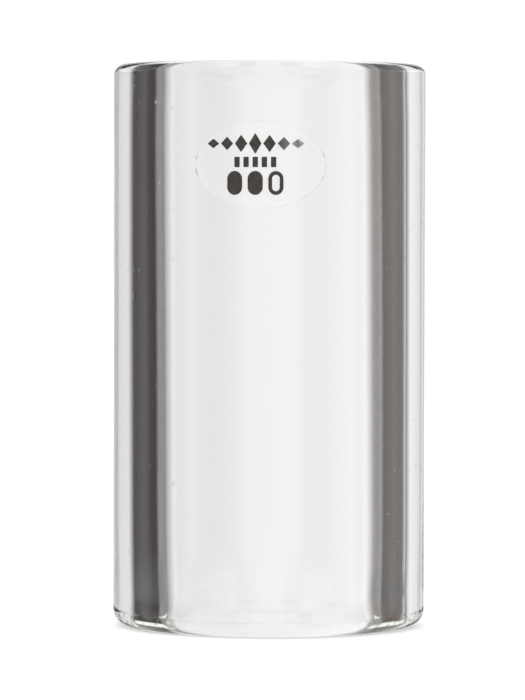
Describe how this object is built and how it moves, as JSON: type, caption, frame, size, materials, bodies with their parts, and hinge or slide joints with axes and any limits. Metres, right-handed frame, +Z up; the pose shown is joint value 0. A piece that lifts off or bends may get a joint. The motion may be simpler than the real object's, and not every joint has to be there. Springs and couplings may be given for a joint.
{
  "type": "guitar slide",
  "caption": "Short heavy-wall clear glass tube worn on a finger to slide along guitar strings, with rounded ends and a clear oval size sticker.",
  "frame": {"origin": "centre of the lower end, on the bore's axis", "axes": "+Z up along the bore's axis, -Y towards the label, +X to the right as the label is read"},
  "size_m": [0.0288, 0.0289, 0.0518],
  "materials": {
    "clear_glass": "fire-polished clear borosilicate glass, very faint grey-green in the thick wall",
    "clear_adhesive": "clear acrylic glue",
    "clear_film": "clear gloss label film",
    "print_ink": "brown-black printing ink, slightly worn"
  },
  "bodies": {
    "root": {"glass_tube": "clear_glass", "label_adhesive": "clear_adhesive", "label_film": "clear_film", "print_lozenges": "print_ink", "print_dashes": "print_ink", "print_size_bars": "print_ink"}
  },
  "joints": []
}
